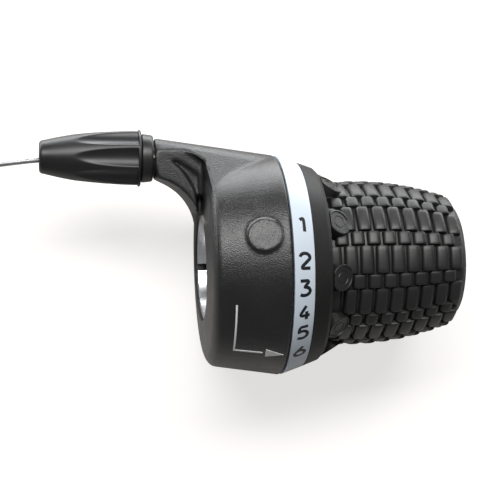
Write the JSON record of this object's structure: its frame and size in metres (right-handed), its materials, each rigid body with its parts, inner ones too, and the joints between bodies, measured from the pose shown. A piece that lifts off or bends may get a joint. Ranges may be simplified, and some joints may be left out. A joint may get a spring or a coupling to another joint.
{
  "type": "twist grip gear shifter",
  "caption": "Twist grip gear shifter for a flat handlebar, with a ribbed rubber grip, a numbered ring, a round clamp housing, a barrel adjuster on a side arm and its inner wire.",
  "frame": {"origin": "on the handlebar's axis, in the steel clamp band, 5 mm outboard of the housing's inboard face", "axes": "+X along the handlebar towards its free end, +Y forward to the side where the cable arm stands, +Z towards the rider"},
  "size_m": [0.1555, 0.0575, 0.0515],
  "materials": {
    "housing_plastic": "satin, fine grain",
    "clamp_steel": "bright",
    "fastener_steel": "zinc plated",
    "print_grey": "printed",
    "inner_plastic": "moulded",
    "nylon": "natural",
    "spring_steel": "bright",
    "wire_steel": "stranded",
    "tie_plastic": "satin",
    "core_plastic": "satin",
    "ring_plastic": "satin gloss",
    "numeral_print": "printed",
    "grip_rubber": "matte, moulded",
    "brass": "turned",
    "knob_plastic": "satin"
  },
  "bodies": {
    "housing_body": {"housing": "housing_plastic", "clamp_band": "clamp_steel", "clamp_screw": "fastener_steel", "clamp_nut": "fastener_steel", "hatch_cover": "housing_plastic", "pointer_print": "print_grey", "retaining_plate": "inner_plastic", "plate_screws": "fastener_steel", "thrust_washer": "nylon", "click_spring": "spring_steel", "click_pin": "spring_steel", "cable_guide": "nylon", "inner_wire": "wire_steel", "wire_tail": "wire_steel", "wire_coil": "wire_steel", "coil_tie": "tie_plastic", "adjuster_spring": "spring_steel"},
    "grip_body": {"spool": "nylon", "cable_head": "fastener_steel", "grip_core": "core_plastic", "number_ring": "ring_plastic", "numerals": "numeral_print", "grip_sleeve": "grip_rubber"},
    "click_ring_body": {"click_ring": "nylon"},
    "adjuster_body": {"adjuster_barrel": "knob_plastic", "adjuster_bolt": "brass", "adjuster_knob": "knob_plastic"}
  },
  "joints": [
    {"name": "grip_twist", "type": "hinge", "parent": "housing_body", "child": "grip_body", "pos_m": [0, 0, 0], "axis": [1, 0, 0], "range_deg": [0, 72]},
    {"name": "adjuster_travel", "type": "slide", "parent": "housing_body", "child": "click_ring_body", "axis": [-0.9995, 0.0314, 0], "range_m": [0, 0.0032]},
    {"name": "adjuster_turn", "type": "hinge", "parent": "click_ring_body", "child": "adjuster_body", "pos_m": [-0.0154, 0.0252, 0.003], "axis": [-0.9995, 0.0314, 0], "range_deg": [0, 1440]}
  ],
  "couplings": [
    {"joint": "adjuster_turn", "follows": "adjuster_travel", "rad_per_m": 7854}
  ]
}
